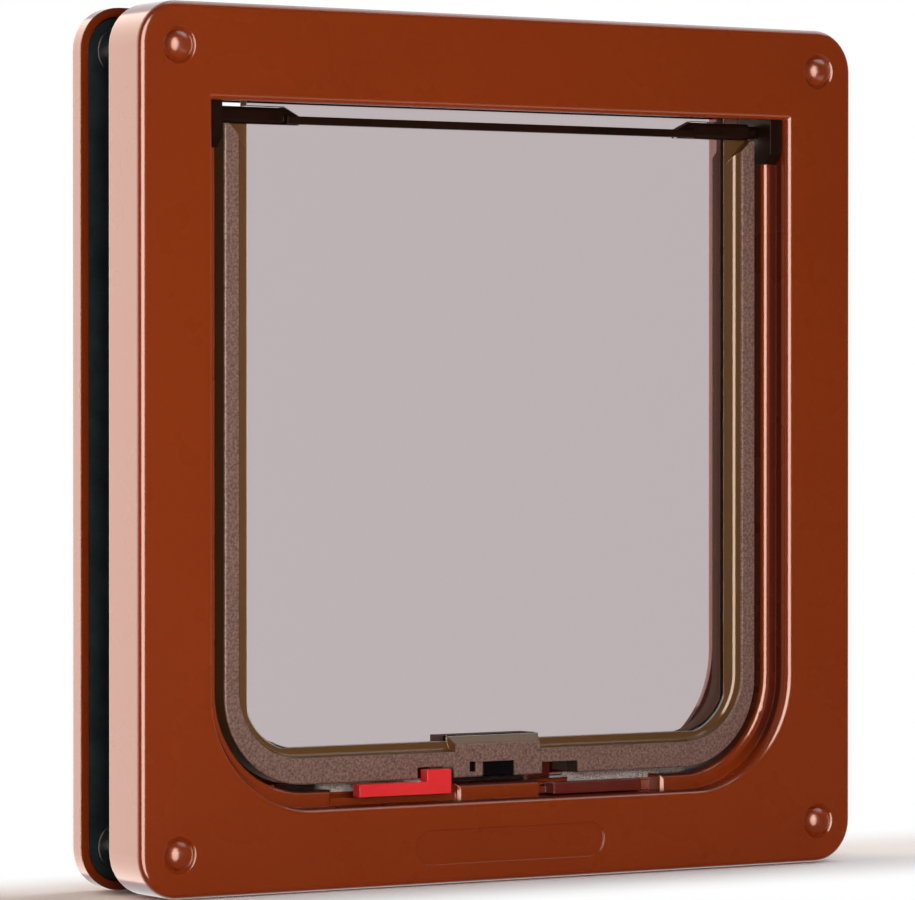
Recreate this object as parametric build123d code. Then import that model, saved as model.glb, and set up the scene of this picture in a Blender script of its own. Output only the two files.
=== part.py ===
from build123d import *
import os

# Cat flap for a door: a room frame and an outer frame clamp the door between them,
# and a tinted flap hangs in the lined opening and swings both ways.
# Millimetres. X runs across, Y from the room to the outside, Z up.
# The origin is on the door's room face, at the middle of the frames.

# Frames
frame_width = 198.0
frame_height = 202.0
frame_corner = 10.0
room_frame_depth = 14.5
door_thickness = 13.5
outer_frame_depth = 5.5
shell_wall = 2.3
outer_rim_wall = 2.0
room_edge_round = 1.7
outer_edge_round = 2.0
rib_thickness = 1.6
rib_depth = 6.0
rib_pitch = 30.0

# Opening and its two telescoping sleeves
tunnel_width = 152.8
tunnel_floor = -78.4
tunnel_corner = 23.3
ledge_width = 3.6
ledge_rise = 3.7
ledge_setback = 5.0
ledge_thickness = 3.0
ledge_round = 1.5
recess_head = 79.0
recess_corner = 26.7
recess_edge_round = 1.7
sleeve_wall = 2.2
sleeve_reach = 11.5
sleeve_lap = 6.0
sleeve_clearance = 0.3
outer_mouth_head = 80.5
outer_mouth_lip = 2.2
outer_mouth_round = 1.2

# Threshold beam, lock slots and brush
beam_half_width = 59.0
beam_depth = 9.3
slot_inner = 11.5
slot_length = 34.6
slot_flare = 0.7
slot_depth = 4.6
slot_back_wall = 1.0
slot_back_drop = 0.9
brush_reach = 57.0
brush_width = 3.0
brush_groove_depth = 1.0
brush_clearance = 0.4
brush_taper = 0.7

# Flap
flap_side_gap = 2.3
flap_foot_gap = 1.5
rim_setback = 5.5
rim_depth = 11.0
rim_width = 3.7
rim_foot = 5.9
rim_back_width = 6.0
rim_edge_round = 0.5
rim_head_corner = 2.6
rim_back_slope = 4.0
bevel_width = 3.4
bevel_foot = 2.2
cove_wall = 0.9
cove_wall_depth = 1.75
cove_turn = 0.5
cove_turn_depth = 0.45
pane_recess = 2.8
pane_thickness = 2.4
pane_back_draft = 0.4
pane_corner = 14.0
pane_head_lip = 5.8
housing_half_width = 11.6
housing_rise = 1.5
magnet_width = 8.8
magnet_height = 3.4
magnet_depth = 4.0
magnet_recess = 0.3
fit_clearance = 0.1
latch_slot_width = 1.8
latch_slot_height = 2.4
latch_slot_offset = 7.2

# Hinge
hinge_height = 76.2
hinge_setback = 10.1
hinge_headroom = 6.3
lug_half_height = 2.0
lug_tip = 53.0
lug_taper = 4.0
lug_round = 1.2
pin_radius = 1.5
pin_length = 4.6
running_clearance = 0.05
rail_bar_height = 1.8
rail_bar_depth = 2.0
rail_bar_lift = 0.2
bearing_drop = 7.8
bearing_front_reach = 7.6
bearing_back_reach = 6.0
bearing_clearance = 0.2
bearing_chamfer = 2.4

# Lock slides
lock_travel = 5.6
lock_end_gap = 3.7
lock_clearance = 0.3
lock_bar_drop = 0.8
lock_bar_depth = 1.8
lock_lip_rise = 1.15
lock_lip_height = 2.9
lock_lip_overhang = 5.0
lock_sill = 0.9
lock_block_width = 6.6
lock_block_top = 2.4
lock_block_depth = 2.9
lock_arm_height = 1.7
lock_keel = 0.7
notch_height = 2.8
notch_slack_inner = 3.0
notch_slack_outer = 0.7

# Fixing screws and their caps
screw_inset = 10.0
screw_radius = 2.0
screw_head_radius = 2.9
screw_head_height = 2.4
screw_hole_clearance = 0.2
screw_seat_depth = 5.2
tube_radius = 4.8
post_radius = 4.4
post_drop = 0.6
post_hole_depth = 2.6
cap_radius = 3.5
cap_height = 2.0
cap_seat_depth = 0.6
cap_seat_flare = 0.65
cap_seat_clearance = 0.15
cap_stem_length = 1.8

# Gasket, sealing washers and the bare plaque recess
gasket_drop = 0.5
gasket_clearance = 0.3
washer_radius = 5.5
plaque_width = 52.5
plaque_height = 8.0
plaque_depth = 0.4

# Places worked out from the sizes above
front_y = -room_frame_depth
back_rim_y = door_thickness
rear_y = door_thickness + outer_frame_depth
tunnel_half = tunnel_width / 2
recess_half = tunnel_half + ledge_width
recess_floor = tunnel_floor - ledge_rise
ledge_y = front_y + ledge_setback
tunnel_head = hinge_height + hinge_headroom
outer_sleeve_outset = sleeve_wall + sleeve_clearance
gasket_hole_outset = outer_sleeve_outset + sleeve_wall + gasket_clearance
plate_back_y = front_y + shell_wall

hinge_y = front_y + hinge_setback
bearing_foot = hinge_height - bearing_drop
bearing_back_y = hinge_y + bearing_back_reach

flap_half = tunnel_half - flap_side_gap
flap_foot = tunnel_floor + flap_foot_gap
flap_corner = tunnel_corner - flap_side_gap
flap_head = hinge_height - lug_half_height
mouth_half = flap_half - rim_width
mouth_foot = flap_foot + rim_foot
pane_half = mouth_half - bevel_width
pane_foot = mouth_foot + bevel_foot
lug_top = hinge_height + lug_half_height
rail_bar_top = flap_head + rail_bar_lift + rail_bar_height
rim_front_y = front_y + rim_setback
rim_back_y = rim_front_y + rim_depth
pane_front_y = rim_front_y + pane_recess
pane_back_y = pane_front_y + pane_thickness

beam_back_y = ledge_y + beam_depth
slot_back_y = ledge_y + slot_depth
slot_outer = slot_inner + slot_length
brush_front_y = slot_back_y + slot_back_wall
brush_seat = tunnel_floor - brush_groove_depth

lock_inner = slot_inner + lock_end_gap
lock_outer = slot_outer - lock_travel - lock_clearance
block_outer = lock_inner + lock_block_width
notch_inner = lock_inner - notch_slack_inner
notch_outer = block_outer + notch_slack_outer
notch_top = flap_foot + notch_height
side_brush_x = (notch_outer + lock_clearance, brush_reach)
middle_brush_x = (lock_clearance - notch_inner, notch_inner - lock_clearance)
middle_brush_front_y = slot_back_y + magnet_depth / 2 + slot_back_wall
lock_top = flap_foot + lock_block_top
lock_bar_top = tunnel_floor - lock_bar_drop
lock_bar_back = slot_back_y - lock_clearance
lock_bar_front = lock_bar_back - lock_bar_depth
lock_lip_top = tunnel_floor + lock_lip_rise
lock_lip_foot = lock_lip_top - lock_lip_height
arm_foot = recess_floor + lock_clearance
arm_top = arm_foot + lock_arm_height

screw_x = frame_width / 2 - screw_inset
screw_z = frame_height / 2 - screw_inset
screw_seat_y = front_y + screw_seat_depth
corners = [(sx, sz) for sz in (1, -1) for sx in (-1, 1)]


# An outline drawn in X and Z, set at depth y
def at_depth(outline, y):
    return Plane(origin=(0, y, 0), x_dir=(1, 0, 0), z_dir=(0, -1, 0)) * outline


# The same outline carried from y_front back to y_back
def slab(outline, y_front, y_back):
    return extrude(at_depth(outline, y_back), amount=y_back - y_front)


# One outline blended into another, from the back one forward
def blend(front_outline, y_front, back_outline, y_back):
    return loft([at_depth(back_outline, y_back), at_depth(front_outline, y_front)])


# A section drawn in Y and Z, carried along X
def bar_along_x(section, x_low, x_high):
    plane = Plane(origin=(x_low, 0, 0), x_dir=(0, 1, 0), z_dir=(1, 0, 0))
    return extrude(plane * section, amount=x_high - x_low)


def block(x_span, y_span, z_span):
    spans = (x_span, y_span, z_span)
    middle = [(low + high) / 2 for low, high in spans]
    sizes = [abs(high - low) for low, high in spans]
    return Pos(*middle) * Box(*sizes)


def both_sides(half):
    return half + mirror(half, about=Plane.YZ)


def frame_outline(inset):
    return RectangleRounded(frame_width - 2 * inset, frame_height - 2 * inset, frame_corner - inset)


# Square at the head, rounded at the foot
def arch(half_width, foot, head, corner):
    outline = Pos(0, (foot + head) / 2) * Rectangle(2 * half_width, head - foot)
    return fillet(outline.vertices().sort_by(Axis.Y)[:2], corner)


# The tunnel's section, grown by outset
def tunnel_section(outset, head):
    return arch(tunnel_half + outset, tunnel_floor - outset, head, tunnel_corner + outset)


# The front recess's section, grown by outset
def recess_section(outset, head):
    return arch(recess_half + outset, recess_floor - outset, head, recess_corner + outset)


def front_face(solid):
    return solid.faces().sort_by(Axis.Y)[0]


def rear_face(solid):
    return solid.faces().sort_by(Axis.Y)[-1]


def screw_circles(radius):
    return Sketch() + [Pos(sx * screw_x, sz * screw_z) * Circle(radius) for sx, sz in corners]


# Room frame: the moulded plate and skirt
def room_plate():
    plate = slab(frame_outline(0), front_y, 0)
    plate = fillet(front_face(plate).outer_wire().edges(), room_edge_round)
    plate -= slab(frame_outline(shell_wall), plate_back_y, 0)
    plate -= slab(recess_section(0, recess_head), front_y, plate_back_y)
    return fillet(front_face(plate).inner_wires()[0].edges(), recess_edge_round)


# Room frame: collar behind the plate, ledge, sleeve, hinge pockets and threshold beam
def room_liner():
    outer_head = tunnel_head + sleeve_wall
    liner = slab(recess_section(sleeve_wall, outer_head), plate_back_y, ledge_y + ledge_thickness)
    liner += slab(tunnel_section(sleeve_wall, outer_head), ledge_y, sleeve_reach)
    pocket_wall = block(
        (tunnel_half, recess_half + sleeve_wall),
        (plate_back_y, bearing_back_y + sleeve_wall),
        (bearing_foot - sleeve_wall, outer_head),
    )
    liner += both_sides(pocket_wall)
    liner += block(
        (-beam_half_width, beam_half_width),
        (ledge_y, beam_back_y),
        (recess_floor - sleeve_wall, tunnel_floor),
    )
    liner -= slab(recess_section(0, recess_head), plate_back_y, ledge_y)
    tunnel = slab(tunnel_section(0, recess_head), ledge_y, sleeve_reach)
    mouth = [edge.center() for edge in front_face(tunnel).edges().sort_by(Axis.Z)[:-1]]
    liner -= tunnel
    ledge_edges = [
        edge for edge in liner.edges() if any((edge.center() - point).length < 0.01 for point in mouth)
    ]
    liner = fillet(ledge_edges, ledge_round)
    liner -= block((-tunnel_half, tunnel_half), (plate_back_y, sleeve_reach), (recess_head, tunnel_head))
    pocket = block(
        (tunnel_half - flap_side_gap, recess_half),
        (plate_back_y, bearing_back_y),
        (bearing_foot, tunnel_head),
    )
    return liner - both_sides(pocket)


# Slots for the two lock slides, the outward slide's way under the flap, and the brush grooves
def threshold_cuts():
    plan = Polyline(
        (slot_inner - slot_flare, ledge_y),
        (slot_inner, ledge_y + slot_flare),
        (slot_inner, slot_back_y),
        (slot_outer, slot_back_y),
        (slot_outer, ledge_y + slot_flare),
        (slot_outer + slot_flare, ledge_y),
        close=True,
    )
    slot = Pos(0, 0, recess_floor) * extrude(make_face(plan), amount=ledge_rise + 1)
    slot += block(
        (slot_inner, slot_outer),
        (slot_back_y, brush_front_y),
        (tunnel_floor - slot_back_drop, tunnel_floor + 1),
    )
    slot += block(
        (slot_inner, slot_outer),
        (slot_back_y, slot_back_y + lock_keel),
        (arm_foot - lock_clearance, arm_top + lock_clearance),
    )
    cuts = both_sides(slot) + both_sides(brush_groove(side_brush_x, brush_front_y))
    cuts += brush_groove(middle_brush_x, middle_brush_front_y)
    sill_back = lock_bar_front - lock_clearance
    cuts -= block(
        (-slot_outer, -slot_inner),
        (sill_back - lock_sill, sill_back),
        (recess_floor, lock_lip_foot - lock_clearance),
    )
    way_x = (lock_inner - lock_clearance, block_outer + lock_travel + lock_clearance)
    way_back_y = rim_back_y + lock_block_depth + 2 * lock_clearance
    cuts += block(way_x, (slot_back_y, way_back_y), (recess_floor, arm_top + lock_clearance))
    return cuts + block(way_x, (rim_back_y, way_back_y), (recess_floor, tunnel_floor + 1))


def brush_groove(x_span, front):
    return block(x_span, (front, front + brush_width), (brush_seat, tunnel_floor + 1))


# Plates that stiffen the room frame between its skirt and its collar
def room_ribs():
    collar_half = recess_half + sleeve_wall
    skirt_half = frame_width / 2 - shell_wall
    y_span = (plate_back_y, plate_back_y + rib_depth)
    ribs = Part()
    for step in (-2, -1, 0, 1, 2):
        low = step * rib_pitch - rib_thickness / 2
        across_rib = (low, low + rib_thickness)
        ribs += both_sides(block((collar_half, skirt_half), y_span, across_rib))
        ribs += block(across_rib, y_span, (tunnel_head + sleeve_wall, frame_height / 2 - shell_wall))
        ribs += block(across_rib, y_span, (shell_wall - frame_height / 2, recess_floor - sleeve_wall))
    return ribs


def room_frame():
    frame = room_plate() + room_liner() + room_ribs()
    frame += slab(screw_circles(tube_radius), plate_back_y, 0)
    frame -= threshold_cuts()
    frame -= threshold_magnet_space(fit_clearance)
    frame -= slab(screw_circles(screw_radius + screw_hole_clearance), front_y, 0)
    frame -= slab(screw_circles(screw_head_radius + screw_hole_clearance), front_y, screw_seat_y)
    for sx, sz in corners:
        frame -= Pos(sx * screw_x, 0, sz * screw_z) * cap_seat()
    plaque_z = (recess_floor - recess_edge_round - frame_height / 2) / 2
    plaque = Pos(0, plaque_z) * SlotOverall(plaque_width, plaque_height)
    return frame - slab(plaque, front_y, front_y + plaque_depth)


# Dished seat that a screw's cap sits in
def cap_seat():
    floor_radius = cap_radius + cap_seat_clearance
    return blend(
        Circle(floor_radius + cap_seat_flare), front_y, Circle(floor_radius), front_y + cap_seat_depth
    )


# Outer frame: shallow shell with a sleeve that slides over the room frame's
def outer_frame():
    plate_y = rear_y - shell_wall
    frame = slab(frame_outline(0), back_rim_y, rear_y)
    frame = fillet(rear_face(frame).outer_wire().edges(), outer_edge_round)
    frame -= slab(frame_outline(outer_rim_wall), back_rim_y, plate_y)
    sleeve_front = sleeve_reach - sleeve_lap
    head = tunnel_head + outer_sleeve_outset
    frame += slab(
        tunnel_section(outer_sleeve_outset + sleeve_wall, head + sleeve_wall), sleeve_front, plate_y
    )
    frame -= slab(tunnel_section(outer_sleeve_outset, head), sleeve_front, plate_y)
    mouth = arch(
        tunnel_half + outer_sleeve_outset,
        tunnel_floor + outer_mouth_lip,
        outer_mouth_head,
        tunnel_corner + outer_sleeve_outset,
    )
    frame -= slab(mouth, plate_y, rear_y)
    frame = fillet(rear_face(frame).inner_wires()[0].edges(), outer_mouth_round)
    post_y = back_rim_y + gasket_drop + post_drop
    frame += slab(screw_circles(post_radius), post_y, plate_y)
    return frame - slab(screw_circles(screw_radius + running_clearance), post_y, post_y + post_hole_depth)


# Black foam that seals the outer frame to the door
def frame_gasket():
    gasket = frame_outline(outer_rim_wall + gasket_clearance)
    gasket -= tunnel_section(gasket_hole_outset, tunnel_head + gasket_hole_outset)
    gasket -= screw_circles(post_radius + gasket_clearance)
    return slab(gasket, back_rim_y + gasket_drop, rear_y - shell_wall)


# Black washers that seal the screws where they leave the door
def screw_washers():
    rings = screw_circles(washer_radius) - screw_circles(screw_radius + screw_hole_clearance)
    rings -= tunnel_section(gasket_hole_outset, tunnel_head + gasket_hole_outset)
    return slab(rings, back_rim_y, back_rim_y + gasket_drop)


# Flap: tinted pane with a deep rim round its sides and foot, one moulding
def flap():
    head_cut = flap_head + 1
    moulding = slab(arch(flap_half, flap_foot, flap_head, flap_corner), rim_front_y, rim_back_y)
    moulding = fillet(front_face(moulding).outer_wire().edges(), rim_edge_round)
    moulding -= rim_cove(head_cut)
    back_half = flap_half - rim_back_width
    draft = pane_back_draft
    rear_window = arch(back_half, pane_foot, head_cut, pane_corner)
    rear_mouth = arch(back_half + draft, pane_foot - draft, head_cut, pane_corner + draft)
    moulding -= blend(rear_window, pane_back_y, rear_mouth, rim_back_y)
    moulding += flap_housing()
    moulding -= rim_head_cuts()
    moulding += both_sides(pane_head())
    notch = block((notch_inner, notch_outer), (rim_front_y, rim_back_y), (flap_foot, notch_top))
    moulding -= both_sides(notch)
    moulding -= flap_magnet_space(fit_clearance)
    latch_x = (-latch_slot_offset - latch_slot_width / 2, latch_slot_width / 2 - latch_slot_offset)
    latch_z = (flap_foot + latch_slot_height / 2, flap_foot + 1.5 * latch_slot_height)
    return moulding - block(latch_x, (rim_front_y, rim_front_y + pane_recess), latch_z)


# The rim's inner side: a steep wall, a turn, then a shallow run down to the pane
def rim_cove(head):
    def opening(step):
        share = step / bevel_width
        corner = pane_corner + bevel_foot * (1 - share)
        return arch(mouth_half - step, mouth_foot + bevel_foot * share, head, corner)

    wall_y = rim_front_y + cove_wall_depth
    turn_y = wall_y + cove_turn_depth
    turned = cove_wall + cove_turn
    cove = blend(opening(0), rim_front_y, opening(cove_wall), wall_y)
    cove += blend(opening(cove_wall), wall_y, opening(turned), turn_y)
    return cove + blend(opening(turned), turn_y, opening(bevel_width), pane_front_y)


# The pane's upper edge, which runs on above the hinge lugs, drawn on the right
def pane_head():
    top = flap_head + pane_head_lip
    tip = lug_tip - fit_clearance
    outline = Polyline(
        (0, flap_head - 1),
        (tip, flap_head - 1),
        (tip, rail_bar_top + fit_clearance),
        (tip + lug_taper, lug_top + fit_clearance),
        (pane_half, lug_top + fit_clearance),
        (pane_half, top),
        (0, top),
        close=True,
    )
    return slab(make_face(outline), pane_front_y, pane_back_y)


# Raised middle of the rim's foot, which holds the magnet
def flap_housing():
    def step(half_width, top):
        low = flap_foot + notch_height
        return Pos(0, (low + top) / 2) * Rectangle(2 * half_width, top - low)

    top = pane_foot + housing_rise
    front = step(housing_half_width, top - bevel_foot)
    back = step(housing_half_width + bevel_foot / 2, top)
    return blend(front, rim_front_y, back, pane_front_y) + slab(back, pane_front_y, rim_back_y)


# The rim's upper ends lose their inner corner in front and slope down behind the pane
def rim_head_cuts():
    top = flap_head
    run = mouth_half - pane_half + rim_head_corner
    corner = make_face(
        Polyline((pane_half, top), (pane_half, top - run), (pane_half + run, top), close=True)
    )
    back = make_face(
        Polyline((pane_back_y, top), (rim_back_y, top - rim_back_slope), (rim_back_y, top), close=True)
    )
    cuts = both_sides(slab(corner, rim_front_y, pane_front_y))
    return cuts + bar_along_x(back, -flap_half, flap_half)


def flap_magnet_space(clearance):
    half = magnet_width / 2 + clearance
    front = rim_front_y - clearance
    z_span = (flap_foot - clearance, flap_foot + magnet_height + clearance)
    return block((-half, half), (front, rim_front_y + magnet_recess + magnet_depth), z_span)


def flap_magnet():
    half = magnet_width / 2
    y_low = rim_front_y + magnet_recess
    magnet = block((-half, half), (y_low, y_low + magnet_depth), (flap_foot, flap_foot + magnet_height))
    return chamfer(front_face(magnet).edges(), magnet_recess)


def threshold_magnet_space(clearance):
    half = magnet_width / 2 + clearance
    y_low = slot_back_y - magnet_depth / 2
    y_span = (y_low - clearance, y_low + magnet_depth + clearance)
    return block((-half, half), y_span, (tunnel_floor - magnet_height, tunnel_floor + clearance))


def threshold_magnet():
    half = magnet_width / 2
    y_low = slot_back_y - magnet_depth / 2
    z_span = (tunnel_floor - magnet_height, tunnel_floor - fit_clearance)
    return block((-half, half), (y_low, y_low + magnet_depth), z_span)


# Black rail along the flap's head: a thin bar, a tapered lug at each end and its pivot pin
def hinge_rail():
    low = hinge_height - lug_half_height
    bar_low = low + rail_bar_lift
    profile = Polyline(
        (lug_tip, low),
        (lug_tip, rail_bar_top),
        (lug_tip + lug_taper, lug_top),
        (flap_half, lug_top),
        (flap_half, low),
        close=True,
    )
    lug = slab(make_face(profile), hinge_y - lug_half_height, hinge_y + lug_half_height)
    lug = fillet(lug.edges().filter_by(Axis.X), lug_round)
    lug += bar_along_x(Pos(hinge_y, hinge_height) * Circle(pin_radius), flap_half, flap_half + pin_length)
    bar_end = lug_tip + lug_taper
    bar = block(
        (-bar_end, bar_end), (pane_front_y - rail_bar_depth, pane_front_y), (bar_low, rail_bar_top)
    )
    return both_sides(lug) + bar


# Bearing block let into the room frame beside the flap's head
def hinge_bearing(side):
    bearing = block(
        (tunnel_half, recess_half - bearing_clearance),
        (hinge_y - bearing_front_reach, bearing_back_y - bearing_clearance),
        (bearing_foot, tunnel_head - bearing_clearance),
    )
    front_edges = front_face(bearing).edges().filter_by(Axis.X).sort_by(Axis.Z)
    bearing = chamfer(front_edges[0], bearing_chamfer)
    bore = Pos(hinge_y, hinge_height) * Circle(pin_radius + running_clearance)
    bearing -= bar_along_x(bore, tunnel_half, flap_half + pin_length + running_clearance)
    return bearing if side > 0 else mirror(bearing, about=Plane.YZ)


# The part of a lock slide that lies in its slot, drawn on the right
def lock_bar(bar_front, outer):
    bar = block((lock_inner, outer), (bar_front, lock_bar_back), (arm_foot, lock_bar_top))
    keel_x = (slot_inner + lock_clearance, outer)
    return bar + block(keel_x, (lock_bar_back - 1, lock_bar_back + lock_keel), (arm_foot, arm_top))


# Inward lock: a lip and a block stand in front of the flap's rim
def inward_lock():
    lip_back = rim_front_y - lock_clearance
    lip_front = lip_back - lock_block_depth
    x_span = (lock_inner, lock_outer)
    bar_outer = lock_outer - lock_lip_overhang
    slide = lock_bar(lock_bar_front, bar_outer)
    slide += block((lock_inner, bar_outer), (lip_front, lock_bar_back), (lock_lip_foot, lock_bar_top))
    slide += block(x_span, (lip_front, lip_back), (lock_lip_foot, lock_lip_top))
    slide += block((lock_inner, block_outer), (lip_front, lip_back), (lock_lip_foot, lock_top))
    return mirror(slide, about=Plane.YZ)


# Outward lock: an arm runs under the flap to a block behind its rim
def outward_lock():
    block_front = rim_back_y + lock_clearance
    block_back = block_front + lock_block_depth
    x_span = (lock_inner, block_outer)
    slide = lock_bar(ledge_y, lock_outer)
    slide += block(x_span, (lock_bar_back, block_back), (arm_foot, arm_top))
    return slide + block(x_span, (block_front, block_back), (arm_foot, lock_top))


# Pile strip in the threshold, under the flap's foot
def threshold_brush(x_span, groove_front):
    front = groove_front + fit_clearance
    back = groove_front + brush_width - fit_clearance
    top = flap_foot - brush_clearance
    section = Polyline(
        (front, brush_seat),
        (back, brush_seat),
        (back - brush_taper, top),
        (front + brush_taper, top),
        close=True,
    )
    return bar_along_x(make_face(section), x_span[0] + fit_clearance, x_span[1] - fit_clearance)


# Pan head screws from the room frame into the outer frame's posts
def fixing_screws():
    tip_y = back_rim_y + gasket_drop + post_drop + post_hole_depth - running_clearance
    head = slab(screw_circles(screw_head_radius), screw_seat_y - screw_head_height, screw_seat_y)
    return head + slab(screw_circles(screw_radius), screw_seat_y, tip_y)


# Domed cap that covers a screw's head
def screw_cap(sx, sz):
    rim_y = front_y + cap_seat_depth
    dome_y = front_y - cap_height
    bulge = cap_height + cap_seat_depth
    dome_radius = (cap_radius**2 + bulge**2) / (2 * bulge)
    cap = slab(Circle(dome_radius), dome_y, rim_y) & Pos(0, dome_y + dome_radius, 0) * Sphere(dome_radius)
    cap += slab(Circle(screw_head_radius), rim_y, rim_y + cap_stem_length)
    return Pos(sx * screw_x, 0, sz * screw_z) * cap


pieces = {
    "room_frame": room_frame(),
    "outer_frame": outer_frame(),
    "frame_gasket": frame_gasket(),
    "screw_washers": screw_washers(),
    "flap": flap(),
    "flap_magnet": flap_magnet(),
    "threshold_magnet": threshold_magnet(),
    "hinge_rail": hinge_rail(),
    "inward_lock": inward_lock(),
    "outward_lock": outward_lock(),
    "fixing_screws": fixing_screws(),
    "threshold_brush_middle": threshold_brush(middle_brush_x, middle_brush_front_y),
}
for side, word in ((-1, "left"), (1, "right")):
    pieces["hinge_bearing_" + word] = hinge_bearing(side)
    brush = threshold_brush(side_brush_x, brush_front_y)
    pieces["threshold_brush_" + word] = brush if side > 0 else mirror(brush, about=Plane.YZ)
for sx, sz in corners:
    place = ("top" if sz > 0 else "bottom") + ("_left" if sx < 0 else "_right")
    pieces["screw_cap_" + place] = screw_cap(sx, sz)

os.makedirs("parts", exist_ok=True)
for name, shape in pieces.items():
    export_step(shape, "parts/" + name + ".step")
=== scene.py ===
import bpy
import math
import random
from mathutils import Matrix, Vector


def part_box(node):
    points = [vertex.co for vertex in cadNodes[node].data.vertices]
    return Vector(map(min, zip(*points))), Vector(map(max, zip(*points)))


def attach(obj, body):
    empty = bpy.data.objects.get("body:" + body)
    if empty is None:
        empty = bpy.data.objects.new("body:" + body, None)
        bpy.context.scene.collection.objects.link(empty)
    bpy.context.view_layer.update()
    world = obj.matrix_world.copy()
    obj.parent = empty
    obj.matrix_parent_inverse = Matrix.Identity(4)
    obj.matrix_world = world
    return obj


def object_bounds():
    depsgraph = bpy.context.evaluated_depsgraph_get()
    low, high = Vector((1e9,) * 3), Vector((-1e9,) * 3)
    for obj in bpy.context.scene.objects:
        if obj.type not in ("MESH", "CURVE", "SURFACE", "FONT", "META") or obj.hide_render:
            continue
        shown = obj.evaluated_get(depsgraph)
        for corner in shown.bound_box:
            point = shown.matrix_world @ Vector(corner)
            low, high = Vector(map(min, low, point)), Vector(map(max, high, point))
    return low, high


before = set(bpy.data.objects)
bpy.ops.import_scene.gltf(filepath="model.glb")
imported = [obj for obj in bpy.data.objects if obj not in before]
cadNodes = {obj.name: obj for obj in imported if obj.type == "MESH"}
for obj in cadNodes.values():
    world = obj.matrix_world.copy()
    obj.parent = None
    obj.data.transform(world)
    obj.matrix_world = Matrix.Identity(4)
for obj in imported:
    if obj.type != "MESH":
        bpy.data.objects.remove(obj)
cadLow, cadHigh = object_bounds()
print("frame loaded, nodes:", len(cadNodes))

# the part of a noise's range that runs from one shade to the other
wideSpread = (0.25, 0.75)
tightSpread = (0.35, 0.65)
fullRange = (0.0, 1.0)
sharpEdge = 0.0001


# screen colour, 0 to 255, as the linear colour that renders to it
def fromScreen(red, green, blue):
    def one(level):
        share = level / 255
        return share / 12.92 if share <= 0.04045 else ((share + 0.055) / 1.055) ** 2.4
    return (one(red), one(green), one(blue), 1.0)


def startFinish(name):
    finish = bpy.data.materials.new(name)
    finish.use_nodes = True
    nodes, links = finish.node_tree.nodes, finish.node_tree.links
    place = nodes.new("ShaderNodeTexCoord").outputs["Object"]
    return finish, nodes, links, nodes["Principled BSDF"], place


# a socket takes another socket's output or a plain value
def feed(links, socket, value):
    if isinstance(value, bpy.types.NodeSocket):
        links.new(value, socket)
    else:
        socket.default_value = value


def noiseAt(nodes, links, place, scale, detail=3.0):
    noise = nodes.new("ShaderNodeTexNoise")
    noise.inputs["Scale"].default_value = scale
    noise.inputs["Detail"].default_value = detail
    links.new(place, noise.inputs["Vector"])
    return noise.outputs["Fac"]


def rampOf(nodes, links, factor, spread, deep, pale):
    ramp = nodes.new("ShaderNodeValToRGB")
    for element, position, colour in zip(ramp.color_ramp.elements, spread, (deep, pale)):
        element.position = position
        element.color = colour
    links.new(factor, ramp.inputs["Fac"])
    return ramp.outputs["Color"]


# a value carried from one range to another and held at the ends
def mapped(nodes, links, value, source, target=fullRange, curve="LINEAR"):
    change = nodes.new("ShaderNodeMapRange")
    change.interpolation_type = curve
    for socketName, end in zip(("From Min", "From Max", "To Min", "To Max"), (*source, *target)):
        feed(links, change.inputs[socketName], end)
    links.new(value, change.inputs["Value"])
    return change.outputs["Result"]


# one Math node for each further value, from left to right
def combined(nodes, links, operation, *values):
    result = values[0]
    for value in values[1:]:
        step = nodes.new("ShaderNodeMath")
        step.operation = operation
        feed(links, step.inputs[0], result)
        feed(links, step.inputs[1], value)
        result = step.outputs["Value"]
    return result


def absolute(nodes, links, value):
    plainSize = nodes.new("ShaderNodeMath")
    plainSize.operation = "ABSOLUTE"
    links.new(value, plainSize.inputs[0])
    return plainSize.outputs["Value"]


def axesOf(nodes, links, vector):
    split = nodes.new("ShaderNodeSeparateXYZ")
    links.new(vector, split.inputs["Vector"])
    return split.outputs["X"], split.outputs["Y"], split.outputs["Z"]


def opposite(nodes, links, value):
    return combined(nodes, links, "SUBTRACT", 1.0, value)


# 0 under the limit and 1 over it
def stepUp(nodes, links, value, limit, edge=sharpEdge):
    return mapped(nodes, links, value, (limit - edge, limit + edge))


def stepDown(nodes, links, value, limit, edge=sharpEdge):
    return opposite(nodes, links, stepUp(nodes, links, value, limit, edge))


# 1 between low and high, 0 outside
def bandOf(nodes, links, value, low, high):
    rise = stepUp(nodes, links, value, low)
    fall = stepUp(nodes, links, value, high)
    return combined(nodes, links, "SUBTRACT", rise, fall)


# metres that a value is past a limit, up for a direction of 1 and down for -1
def pastLimit(nodes, links, value, limit, direction):
    return mapped(nodes, links, value, (limit, limit + direction))


# inputs 0, 6 and 7 are the share and the two colours of a colour mix
def mixColour(nodes, links, share, first, second):
    mix = nodes.new("ShaderNodeMix")
    mix.data_type = "RGBA"
    links.new(share, mix.inputs[0])
    feed(links, mix.inputs[6], first)
    feed(links, mix.inputs[7], second)
    return mix.outputs[2]


def mixValue(nodes, links, share, first, second):
    return mapped(nodes, links, share, fullRange, (first, second))


def mixShaders(nodes, links, share, first, second, output):
    mix = nodes.new("ShaderNodeMixShader")
    links.new(share, mix.inputs["Fac"])
    links.new(first, mix.inputs[1])
    links.new(second, mix.inputs[2])
    links.new(mix.outputs["Shader"], output.inputs["Surface"])


def softEdges(nodes, edgeRound):
    edge = nodes.new("ShaderNodeBevel")
    edge.samples = 6
    edge.inputs["Radius"].default_value = edgeRound
    return edge.outputs["Normal"]


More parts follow.
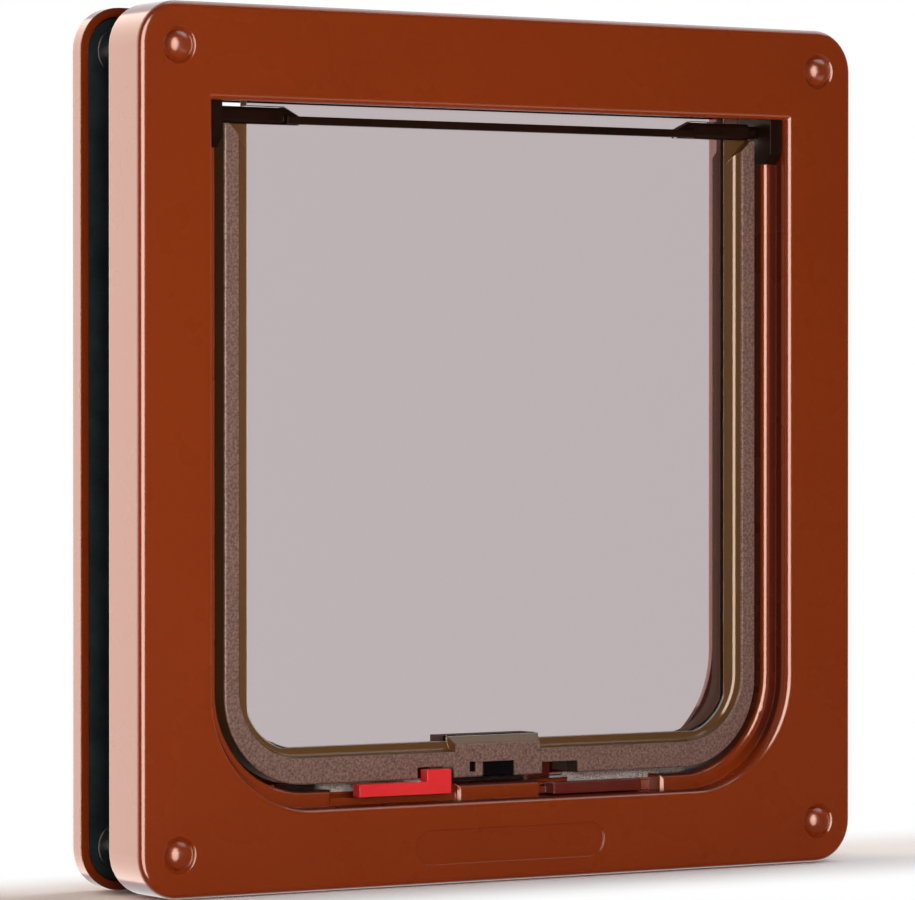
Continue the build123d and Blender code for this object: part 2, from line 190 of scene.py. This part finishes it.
def grainNormal(nodes, links, height, depth, edges):
    bump = nodes.new("ShaderNodeBump")
    bump.inputs["Strength"].default_value = 1.0
    bump.inputs["Distance"].default_value = depth
    links.new(height, bump.inputs["Height"])
    links.new(edges, bump.inputs["Normal"])
    return bump.outputs["Normal"]


# the show faces keep their polish; the recess walls, the tunnel and the slot floors are left
# unpolished, and the same zones get a painted shade, a darker brown where shade falls in the
# recess
def polishedUnshadedFaces(nodes, links, place, plainShaded):
    sideways, deep, up = axesOf(nodes, links, place)
    across = absolute(nodes, links, sideways)
    normal = nodes.new("ShaderNodeNewGeometry").outputs["Normal"]
    facingUp = axesOf(nodes, links, normal)[2]
    outward = nodes.new("ShaderNodeCombineXYZ")
    links.new(pastLimit(nodes, links, across, plainShaded["cornerX"], 1.0), outward.inputs["X"])
    links.new(pastLimit(nodes, links, up, plainShaded["cornerZ"], -1.0), outward.inputs["Z"])
    # out from the corner's centre, so the band turns with the ledge
    length = nodes.new("ShaderNodeVectorMath")
    length.operation = "LENGTH"
    links.new(outward.outputs["Vector"], length.inputs[0])
    reach = length.outputs["Value"]
    walls = combined(
        nodes, links, "MULTIPLY",
        bandOf(nodes, links, reach, *plainShaded["wallReach"]),
        bandOf(nodes, links, deep, *plainShaded["wallDeep"]),
        stepUp(nodes, links, up, plainShaded["wallFade"], plainShaded["softEdge"]),
        stepDown(nodes, links, up, plainShaded["wallTop"]),
    )
    tunnel = combined(
        nodes, links, "MULTIPLY",
        stepUp(nodes, links, deep, plainShaded["tunnelFrom"]),
        stepDown(nodes, links, reach, plainShaded["tunnelReach"]),
        stepDown(nodes, links, up, plainShaded["tunnelTop"]),
    )
    floors = combined(
        nodes, links, "MULTIPLY",
        bandOf(nodes, links, up, *plainShaded["floorUp"]),
        stepDown(nodes, links, across, plainShaded["floorHalf"], plainShaded["softEdge"]),
        stepUp(nodes, links, facingUp, plainShaded["floorFacing"], plainShaded["facingEdge"]),
    )
    return opposite(nodes, links, combined(nodes, links, "MAXIMUM", walls, tunnel, floors))


# moulded plastic: two close shades, a slow change of gloss and a fine grain
def mouldedPlastic(name, look):
    finish, nodes, links, shader, place = startFinish(name)
    cloud = noiseAt(nodes, links, place, look["cloudScale"])
    shade = rampOf(nodes, links, cloud, wideSpread, look["deep"], look["pale"])
    gloss = noiseAt(nodes, links, place, look["glossScale"])
    roughness = mapped(nodes, links, gloss, wideSpread, look["roughness"])
    links.new(roughness, shader.inputs["Roughness"])
    grain = noiseAt(nodes, links, place, look["grainScale"], detail=2.0)
    edges = softEdges(nodes, look["edgeRound"])
    normal = grainNormal(nodes, links, grain, look["grainDepth"], edges)
    links.new(normal, shader.inputs["Normal"])
    shader.inputs["Specular IOR Level"].default_value = look["specular"]
    if "polish" in look:
        shader.inputs["Coat Weight"].default_value = 1.0
        shader.inputs["Coat Roughness"].default_value = look["polish"]
        links.new(edges, shader.inputs["Coat Normal"])
    # the unpolished zones also get painted shade: their colour is a darker brown standing in for
    # the shade in the recess, the tunnel and the slot floors
    if "plainShaded" in look:
        polishedUnshaded = polishedUnshadedFaces(nodes, links, place, look["plainShaded"])
        shade = mixColour(nodes, links, polishedUnshaded, look["plainShaded"]["colour"], shade)
        links.new(polishedUnshaded, shader.inputs["Coat Weight"])
    links.new(shade, shader.inputs["Base Color"])
    return finish


def wear(finish, *nodeNames):
    for nodeName in nodeNames:
        materials = cadNodes[nodeName].data.materials
        materials.clear()
        materials.append(finish)


# frames and caps share one glossy red-brown
brownLook = {
    "deep": fromScreen(132, 47, 6),
    "pale": fromScreen(136, 50, 8),
    "cloudScale": 26.0,
    "roughness": (0.26, 0.3),
    "glossScale": 60.0,
    "grainScale": 900.0,
    "grainDepth": 0.000006,
    "edgeRound": 0.0003,
    "specular": 0.08,
    "polish": 0.16,
}
# painted shade: a darker brown for the recess walls, the tunnel and the slot floors, where shade
# falls, and no coat there
plainShadedFaces = {
    "colour": fromScreen(82, 27, 13),
    "cornerX": 0.0533,
    "cornerZ": -0.0554,
    "wallReach": (0.02465, 0.02685),
    "wallFade": -0.0735,
    "wallTop": 0.0795,
    "wallDeep": (-0.0115, -0.0092),
    "tunnelFrom": -0.0080,
    "tunnelReach": 0.0233,
    "tunnelTop": 0.0826,
    "floorUp": (-0.0824, -0.0780),
    "floorHalf": 0.060,
    "floorFacing": 0.6,
    "facingEdge": 0.1,
    "softEdge": 0.005,
}
frameLook = dict(brownLook, plainShaded=plainShadedFaces)
wear(mouldedPlastic("brownMoulding", frameLook), "room_frame", "outer_frame")

# the caps are a little softer in their gloss
capLook = dict(brownLook, polish=0.26)
capNames = [nodeName for nodeName in cadNodes if nodeName.startswith("screw_cap_")]
wear(mouldedPlastic("brownCaps", capLook), *capNames)
print("frames and caps finished")

blackLook = {
    "deep": fromScreen(24, 10, 5),
    "pale": fromScreen(38, 18, 10),
    "cloudScale": 80.0,
    "roughness": (0.3, 0.4),
    "glossScale": 120.0,
    "grainScale": 2200.0,
    "grainDepth": 0.00002,
    "edgeRound": 0.0004,
    "specular": 0.08,
}
blackMoulding = mouldedPlastic("blackMoulding", blackLook)
wear(blackMoulding, "hinge_rail", "hinge_bearing_left", "hinge_bearing_right")
print("hinge finished")

redLook = {
    "deep": fromScreen(219, 34, 38),
    "pale": fromScreen(232, 44, 48),
    "cloudScale": 120.0,
    "roughness": (0.28, 0.38),
    "glossScale": 140.0,
    "grainScale": 2400.0,
    "grainDepth": 0.00002,
    "edgeRound": 0.0004,
    "specular": 0.35,
}
wear(mouldedPlastic("redMoulding", redLook), "inward_lock")

darkLook = dict(redLook, deep=fromScreen(92, 28, 16), pale=fromScreen(108, 37, 24))
wear(mouldedPlastic("darkMoulding", darkLook), "outward_lock")
print("lock slides finished")

foamLook = {
    "deep": fromScreen(26, 42, 45),
    "pale": fromScreen(44, 62, 65),
    "cloudScale": 160.0,
    "roughness": (0.5, 0.6),
    "glossScale": 300.0,
    "grainScale": 2600.0,
    "grainDepth": 0.00012,
    "edgeRound": 0.0003,
    "specular": 0.05,
}
wear(mouldedPlastic("foamBlack", foamLook), "frame_gasket")

# the washers are smooth rubber, so their round edges catch the light
washerLook = dict(
    foamLook, roughness=(0.22, 0.3), edgeRound=0.0007, grainDepth=0.00001, specular=0.3,
)
wear(mouldedPlastic("washerRubber", washerLook), "screw_washers")

magnetLook = dict(
    blackLook, deep=fromScreen(6, 4, 5), pale=fromScreen(13, 10, 11), specular=0.1,
)
wear(mouldedPlastic("magnetBlack", magnetLook), "flap_magnet", "threshold_magnet")
print("gasket, washers and magnets finished")

# plated screws: bright metal, a little cloudy
steelLook = {
    "deep": fromScreen(150, 150, 146),
    "pale": fromScreen(186, 186, 180),
    "cloudScale": 300.0,
    "roughness": (0.22, 0.36),
}


def platedSteel(name, look):
    finish, nodes, links, shader, place = startFinish(name)
    cloud = noiseAt(nodes, links, place, look["cloudScale"])
    shade = rampOf(nodes, links, cloud, tightSpread, look["deep"], look["pale"])
    links.new(shade, shader.inputs["Base Color"])
    roughness = mapped(nodes, links, cloud, wideSpread, look["roughness"])
    links.new(roughness, shader.inputs["Roughness"])
    shader.inputs["Metallic"].default_value = 1.0
    return finish


wear(platedSteel("platedSteel", steelLook), "fixing_screws")
print("screws finished")

# clear smoky flap: polished pane, speckled rim face, olive-brown where the plastic is thick, and a
# dark brown painted shade around the foot notches
flapLook = {
    "clearColour": fromScreen(250, 248, 248),
    "smoke": (0.195, 0.043, 0.063, 1.0),
    "smokeDensity": 280.0,
    "rimDeep": fromScreen(95, 66, 57),
    "rimPale": fromScreen(148, 112, 99),
    "bevelColour": fromScreen(104, 71, 38),
    "rearColour": fromScreen(76, 45, 15),
    "rimFaceDepth": 0.0005,
    "paneDepths": (0.0028, 0.0052),
    "paneMargin": 0.0002,
    "paneHalfWidth": 0.0667,
    "paneFoot": -0.0685,
    # painted shade: dark brown on the foot where it is notched for the locks
    "openingAcross": (0.0058, 0.0235),
    "openingTop": -0.0732,
    "notchShadeColour": fromScreen(44, 28, 13),
    "housingHalfWidth": 0.0129,
    "housingTop": -0.0674,
    "thickShine": 0.14,
    "rimRoughness": 0.42,
    "rearRoughness": 0.85,
    "paneRoughness": 0.02,
    "thickGlow": 0.1,
    "speckleScale": 1650.0,
    "speckleSpread": (0.36, 0.64),
    "speckleDepth": 0.00006,
    "refraction": 1.49,
    "edgeRound": 0.0003,
}


def smokyClear(name, look):
    finish, nodes, links, shader, place = startFinish(name)
    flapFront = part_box("flap")[0].y
    sideways, deep, up = axesOf(nodes, links, place)
    across = absolute(nodes, links, sideways)
    paneFront, paneBack = (flapFront + step for step in look["paneDepths"])
    housing = combined(
        nodes, links, "MULTIPLY",
        stepDown(nodes, links, across, look["housingHalfWidth"]),
        stepDown(nodes, links, up, look["housingTop"]),
    )
    pane = combined(
        nodes, links, "MULTIPLY",
        bandOf(nodes, links, deep, paneFront - look["paneMargin"], paneBack + look["paneMargin"]),
        stepDown(nodes, links, across, look["paneHalfWidth"]),
        stepUp(nodes, links, up, look["paneFoot"]),
        opposite(nodes, links, housing),
    )
    # painted shade: the flap's foot around the lock notches is painted dark brown for the shade
    # that falls there
    notchShade = combined(
        nodes, links, "MULTIPLY",
        bandOf(nodes, links, across, *look["openingAcross"]),
        stepDown(nodes, links, up, look["openingTop"]),
    )
    behind = stepUp(nodes, links, deep, paneBack)
    rimFace = stepDown(nodes, links, deep, flapFront + look["rimFaceDepth"])
    speckle = noiseAt(nodes, links, place, look["speckleScale"], detail=4.0)
    speckled = rampOf(
        nodes, links, speckle, look["speckleSpread"], look["rimDeep"], look["rimPale"],
    )
    colour = mixColour(nodes, links, behind, look["bevelColour"], look["rearColour"])
    colour = mixColour(nodes, links, notchShade, colour, look["notchShadeColour"])
    colour = mixColour(nodes, links, rimFace, colour, speckled)
    colour = mixColour(nodes, links, pane, colour, look["clearColour"])
    links.new(colour, shader.inputs["Base Color"])
    clearness = mixValue(nodes, links, pane, look["thickGlow"], 1.0)
    links.new(clearness, shader.inputs["Transmission Weight"])
    roughness = mixValue(nodes, links, behind, look["thickShine"], look["rearRoughness"])
    roughness = mixValue(nodes, links, rimFace, roughness, look["rimRoughness"])
    roughness = mixValue(nodes, links, pane, roughness, look["paneRoughness"])
    links.new(roughness, shader.inputs["Roughness"])
    shader.inputs["IOR"].default_value = look["refraction"]
    grain = combined(nodes, links, "MULTIPLY", speckle, rimFace)
    edges = softEdges(nodes, look["edgeRound"])
    normal = grainNormal(nodes, links, grain, look["speckleDepth"], edges)
    links.new(normal, shader.inputs["Normal"])
    smoke = nodes.new("ShaderNodeVolumeAbsorption")
    smoke.inputs["Color"].default_value = look["smoke"]
    smoke.inputs["Density"].default_value = look["smokeDensity"]
    links.new(smoke.outputs["Volume"], nodes["Material Output"].inputs["Volume"])
    return finish


wear(smokyClear("smokyClear", flapLook), "flap")
print("flap finished")

# pile strips: a dense core under short leaning fibres, with a painted shade at the left end, where
# the ledge shades the pile
brushLook = {
    "deep": fromScreen(152, 136, 131),
    "pale": fromScreen(228, 211, 203),
    # painted shade for the pile's left end
    "leftEndShade": fromScreen(64, 50, 45),
    "shadeEndsAt": -0.0465,
    "shadeFade": 0.001,
    "cloudScale": 2600.0,
    "roughness": 0.9,
    "specular": 0.05,
    "fibreWidth": 0.00013,
    "widthSpread": (0.7, 1.2),
    "thirdOfTurn": 2.0944,
    "footLift": 0.0001,
    "fibreRise": 0.00025,
    "riseSpread": (-1.6, 1.0),
    "fibreLean": 0.00035,
    "leanBack": 0.4,
    "fibresPerMetre": 76000,
    "seed": 7,
}


def pileFinish(name, look):
    finish, nodes, links, shader, place = startFinish(name)
    cloud = noiseAt(nodes, links, place, look["cloudScale"], detail=2.0)
    shade = rampOf(nodes, links, cloud, tightSpread, look["deep"], look["pale"])
    # painted shade: the pile is darker at its left end, where the ledge shades it
    sideways = axesOf(nodes, links, place)[0]
    unshaded = stepUp(nodes, links, sideways, look["shadeEndsAt"], look["shadeFade"])
    links.new(mixColour(nodes, links, unshaded, look["leftEndShade"], shade), shader.inputs["Base Color"])
    shader.inputs["Roughness"].default_value = look["roughness"]
    shader.inputs["Specular IOR Level"].default_value = look["specular"]
    return finish


# each fibre is a slim closed spike from the seat to about the top of the core, most near the front
def pileFibres(name, nodeName, finish, look):
    dice = random.Random(look["seed"])
    low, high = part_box(nodeName)
    points, faces = [], []
    for _ in range(round(look["fibresPerMetre"] * (high.x - low.x))):
        x = dice.uniform(low.x, high.x)
        y = low.y + (high.y - low.y) * dice.random() ** 2
        foot = len(points)
        for turn in range(3):
            angle = turn * look["thirdOfTurn"] + dice.random()
            reach = look["fibreWidth"] * dice.uniform(*look["widthSpread"])
            footX, footY = x + reach * math.cos(angle), y + reach * math.sin(angle)
            points.append((footX, footY, low.z + look["footLift"]))
        tipX = min(max(x + dice.gauss(0.0, look["fibreLean"]), low.x), high.x)
        tipY = y + dice.gauss(0.0, look["fibreLean"] * look["leanBack"])
        points.append((tipX, tipY, high.z + look["fibreRise"] * dice.uniform(*look["riseSpread"])))
        faces += [(foot + 2, foot + 1, foot), (foot, foot + 1, foot + 3)]
        faces += [(foot + 1, foot + 2, foot + 3), (foot + 2, foot, foot + 3)]
    mesh = bpy.data.meshes.new(name)
    mesh.from_pydata(points, [], faces)
    mesh.materials.append(finish)
    fibres = bpy.data.objects.new(name, mesh)
    bpy.context.scene.collection.objects.link(fibres)
    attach(fibres, "frames")


greyPile = pileFinish("greyPile", brushLook)
# painted shade: the middle strip gets darker shades for the shade under the housing
middleLook = dict(brushLook, deep=fromScreen(54, 42, 38), pale=fromScreen(92, 78, 72))
shadedPile = pileFinish("shadedPile", middleLook)  # painted shade: darker because it lies in shade under the housing
for side in ("left", "middle", "right"):
    brushFinish = shadedPile if side == "middle" else greyPile
    brushName = "threshold_brush_" + side
    wear(brushFinish, brushName)
    pileFibres("pileFibres" + side.capitalize(), brushName, brushFinish, brushLook)
print("brushes finished")

# stage: a pale floor that keeps the shadow near the object and is plain white further off
stageLook = {
    "radius": 0.7,
    "sides": 96,
    "drop": 0.0003,
    "paper": (0.86, 0.86, 0.86, 1.0),
    "shadowZone": (0.01, 0.06),
}


def whiteForView(nodes, links):
    path = nodes.new("ShaderNodeLightPath").outputs
    return combined(nodes, links, "MAXIMUM", path["Is Camera Ray"], path["Is Transmission Ray"])


def paleFloor(look):
    bpy.ops.mesh.primitive_circle_add(
        vertices=look["sides"], radius=look["radius"], fill_type="NGON",
    )
    floor = bpy.context.object
    floor.name = "paleFloor"
    floor.location = (0.0, 0.0, cadLow.z - look["drop"])
    finish, nodes, links, shader, place = startFinish("paperWhite")
    shader.inputs["Base Color"].default_value = look["paper"]
    shader.inputs["Roughness"].default_value = 1.0
    shader.inputs["Specular IOR Level"].default_value = 0.0
    fromFootLine = absolute(nodes, links, axesOf(nodes, links, place)[1])
    away = mapped(nodes, links, fromFootLine, look["shadowZone"], curve="SMOOTHSTEP")
    white = combined(nodes, links, "MULTIPLY", whiteForView(nodes, links), away)
    glow = nodes.new("ShaderNodeEmission").outputs["Emission"]
    mixShaders(nodes, links, white, shader.outputs["BSDF"], glow, nodes["Material Output"])
    floor.data.materials.append(finish)
    floor.visible_glossy = False  # the gloss shows the backdrop, not the paper


worldLook = {
    "white": (1.0, 1.0, 1.0, 1.0),
    "ambient": 0.05,
    "backdropFrom": 0.1,
    "backdropFade": 0.2,
}


# white for the view, and behind the object for gloss; dim all round for the rest
def studioWorld(look):
    world = bpy.data.worlds.new("studioWhite")
    bpy.context.scene.world = world
    world.use_nodes = True
    nodes, links = world.node_tree.nodes, world.node_tree.links
    room = nodes["Background"]
    room.inputs["Color"].default_value = look["white"]
    room.inputs["Strength"].default_value = look["ambient"]
    backdrop = nodes.new("ShaderNodeBackground")
    backdrop.inputs["Color"].default_value = look["white"]
    deep = axesOf(nodes, links, nodes.new("ShaderNodeTexCoord").outputs["Generated"])[1]
    fade = (look["backdropFrom"], look["backdropFrom"] + look["backdropFade"])
    behind = mapped(nodes, links, deep, fade)
    glossy = nodes.new("ShaderNodeLightPath").outputs["Is Glossy Ray"]
    mirrored = combined(nodes, links, "MULTIPLY", glossy, behind)
    seen = combined(nodes, links, "MAXIMUM", whiteForView(nodes, links), mirrored)
    mixShaders(
        nodes, links, seen,
        room.outputs["Background"], backdrop.outputs["Background"], nodes["World Output"],
    )


# lamps: "shines" is seen in the gloss, "fills" lights the matt colours
warmWhite = (1.0, 0.77, 0.63)
softboxes = {
    "frontBank": {
        "at": (-0.16, -0.46, 0.0), "size": (0.35, 0.35), "power": 1.78, "fills": True,
    },
    "leftFrontBox": {
        "at": (-0.79, -1.03, 0.1), "size": (1.1, 2.5), "power": 96.0,
        "shines": True, "colour": warmWhite,
    },
    "leftRearBox": {
        "at": (-0.6, 1.0, 0.1), "size": (1.7, 2.6), "power": 33.0,
        "shines": True, "fills": True, "colour": warmWhite,
    },
    "lowFrontBox": {
        "at": (0.22, -0.32, -0.1), "aim": (0.22, -0.32, 0.0), "size": (0.6, 0.4), "power": 1.1,
        "shines": True, "spread": 2.3, "colour": warmWhite,
    },
    "rightFill": {
        "at": (1.1, 0.1, 0.3), "size": (1.0, 1.0), "power": 7.0, "fills": True,
    },
    "topFill": {
        "at": (0.5, 0.0, 1.0), "size": (1.0, 1.0), "power": 5.5, "shines": True, "fills": True,
    },
}


def softbox(name, look):
    lamp = bpy.data.lights.new(name, "AREA")
    lamp.shape = "ELLIPSE"
    lamp.size, lamp.size_y = look["size"]
    lamp.energy = look["power"]
    lamp.color = look.get("colour", (1.0, 1.0, 1.0))
    lamp.spread = look.get("spread", math.pi)
    holder = bpy.data.objects.new(name, lamp)
    bpy.context.scene.collection.objects.link(holder)
    holder.location = look["at"]
    aim = Vector(look.get("aim", (0.0, 0.0, 0.0))) - Vector(look["at"])
    holder.rotation_euler = aim.to_track_quat("-Z", "Y").to_euler()
    holder.visible_camera = False
    holder.visible_transmission = False
    holder.visible_glossy = look.get("shines", False)
    holder.visible_diffuse = look.get("fills", False)


paleFloor(stageLook)
studioWorld(worldLook)
for boxName, boxLook in softboxes.items():
    softbox(boxName, boxLook)
print("stage and lights set")

# camera at the photo's angle: almost level, looking at the front from the left
cameraLook = {
    "yaw": 32.56,
    "pitch": 0.533,
    "axisX": -0.00572,
    "axisZ": -0.00049,
    "distance": 1.21163,
    "lens": 202.48,
    "sensor": 36.0,
    "clipEnd": 20.0,
}


def photoCamera(look):
    yaw, pitch = math.radians(look["yaw"]), math.radians(look["pitch"])
    level = math.cos(pitch)
    ahead = Vector((math.sin(yaw) * level, math.cos(yaw) * level, -math.sin(pitch)))
    lens = bpy.data.cameras.new("photoCamera")
    lens.lens = look["lens"]
    lens.sensor_width = look["sensor"]
    lens.clip_end = look["clipEnd"]
    camera = bpy.data.objects.new("photoCamera", lens)
    bpy.context.scene.collection.objects.link(camera)
    camera.location = Vector((look["axisX"], 0.0, look["axisZ"])) - ahead * look["distance"]
    camera.rotation_euler = ahead.to_track_quat("-Z", "Y").to_euler()
    bpy.context.scene.camera = camera


photoCamera(cameraLook)
bpy.context.scene.view_settings.view_transform = "Standard"
print("camera set")
